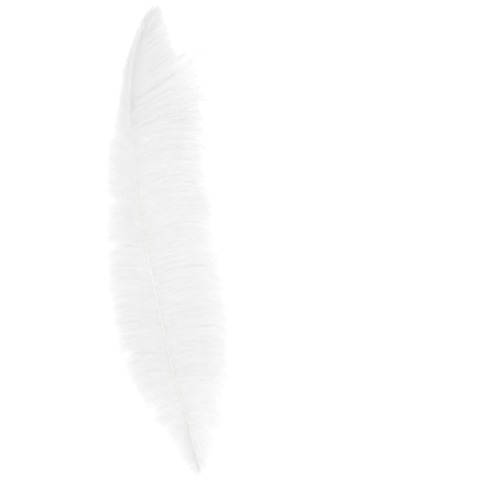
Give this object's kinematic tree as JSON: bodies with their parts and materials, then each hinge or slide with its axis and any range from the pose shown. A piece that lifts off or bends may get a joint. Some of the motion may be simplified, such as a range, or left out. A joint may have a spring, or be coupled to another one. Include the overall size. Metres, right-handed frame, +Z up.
{
  "type": "ostrich feather",
  "caption": "White ostrich plume that lies flat: a slim arched shaft with soft locks of barbs along both sides, wider on one side, and a tip that curls over.",
  "frame": {"origin": "middle of the feather's box, on the surface that it lies on", "axes": "+Y from the quill to the tip, +X to the right seen from above, +Z up"},
  "size_m": [0.129, 0.5043, 0.0176],
  "materials": {
    "barbs": "matte",
    "shaft": "satin"
  },
  "bodies": {
    "root": {"feather": "barbs"}
  },
  "joints": []
}
